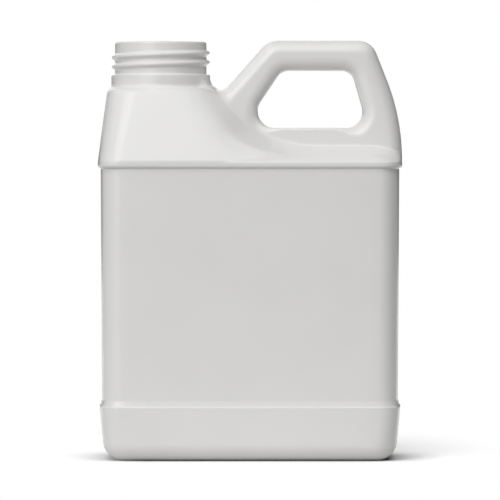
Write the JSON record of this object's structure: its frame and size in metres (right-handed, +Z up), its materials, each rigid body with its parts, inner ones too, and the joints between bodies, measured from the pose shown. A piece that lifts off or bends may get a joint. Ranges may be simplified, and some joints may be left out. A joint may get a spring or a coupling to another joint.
{
  "type": "f-style bottle",
  "caption": "Flat rectangular blow-moulded plastic jug with an offset threaded neck, a sloping shoulder, a through handle and a recessed label panel.",
  "frame": {"origin": "middle of the flat base, on the surface the jug stands on", "axes": "+Z up through the neck's mouth, X along the wide side with the neck at -X and the handle at +X, Y through the narrow side; the mould halves meet at Y = 0"},
  "size_m": [0.0998, 0.052, 0.1368],
  "materials": {
    "white_plastic": "satin white polyethylene with a faint orange-peel texture"
  },
  "bodies": {
    "root": {"bottle": "white_plastic"}
  },
  "joints": []
}
